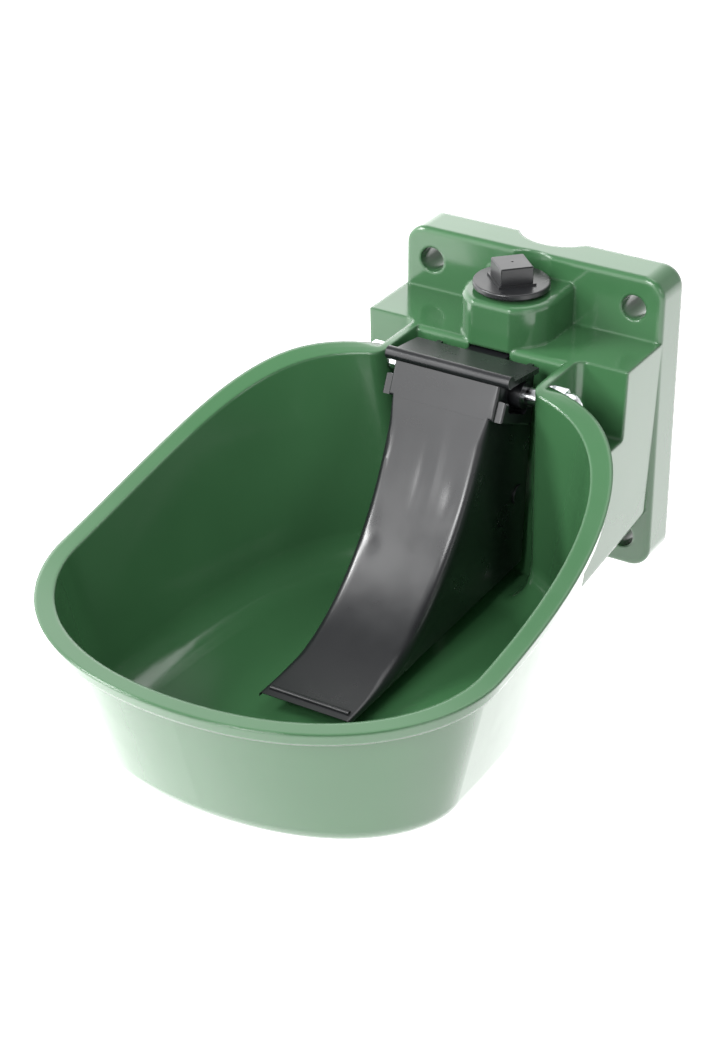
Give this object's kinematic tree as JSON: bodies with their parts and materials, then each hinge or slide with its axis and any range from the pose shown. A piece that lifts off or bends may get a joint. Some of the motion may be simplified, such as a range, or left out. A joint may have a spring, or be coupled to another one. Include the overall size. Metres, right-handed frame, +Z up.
{
  "type": "livestock drinking bowl",
  "caption": "Green plastic livestock drinking bowl with a wall plate, a black pressing tongue on a bolt, a valve behind it and a plugged top water port.",
  "frame": {"origin": "centre of the four wall screw holes, on the back face of the wall plate", "axes": "+Z up, -Y from the wall out to the front of the bowl, +X to the right seen from the front"},
  "size_m": [0.2168, 0.3258, 0.153],
  "materials": {
    "green_plastic": "gloss",
    "black_plastic": "satin",
    "zinc_steel": "satin",
    "stainless": "satin",
    "brass": "satin",
    "rubber": "matte"
  },
  "bodies": {
    "housing": {"bowl_body": "green_plastic", "inlet_insert_bottom": "brass", "inlet_insert_top": "brass", "pivot_bolt": "zinc_steel", "pivot_nut": "zinc_steel", "pivot_washers": "zinc_steel", "plug_seal": "rubber", "port_plug": "black_plastic", "seat_ring": "stainless", "spring_seat": "black_plastic", "valve_body": "brass", "valve_gasket": "rubber", "valve_spring": "stainless"},
    "tongue_arm": {"tongue": "black_plastic"},
    "stem": {"disc_cup": "brass", "stem_nut": "brass", "valve_disc": "rubber", "valve_stem": "stainless"}
  },
  "joints": [
    {"name": "tongue_pivot", "type": "hinge", "parent": "housing", "child": "tongue_arm", "pos_m": [0, -0.0824, 0.0357], "axis": [1, 0, 0], "range_deg": [0, 2.5]},
    {"name": "valve_travel", "type": "slide", "parent": "housing", "child": "stem", "axis": [0, 1, 0], "range_m": [0, 0.00196], "stiffness_N_per_m": 1500, "springref_m": -0.004, "deforming": ["valve_spring"]}
  ],
  "couplings": [
    {"joint": "valve_travel", "follows": "tongue_pivot", "m_per_rad": 0.0447}
  ]
}
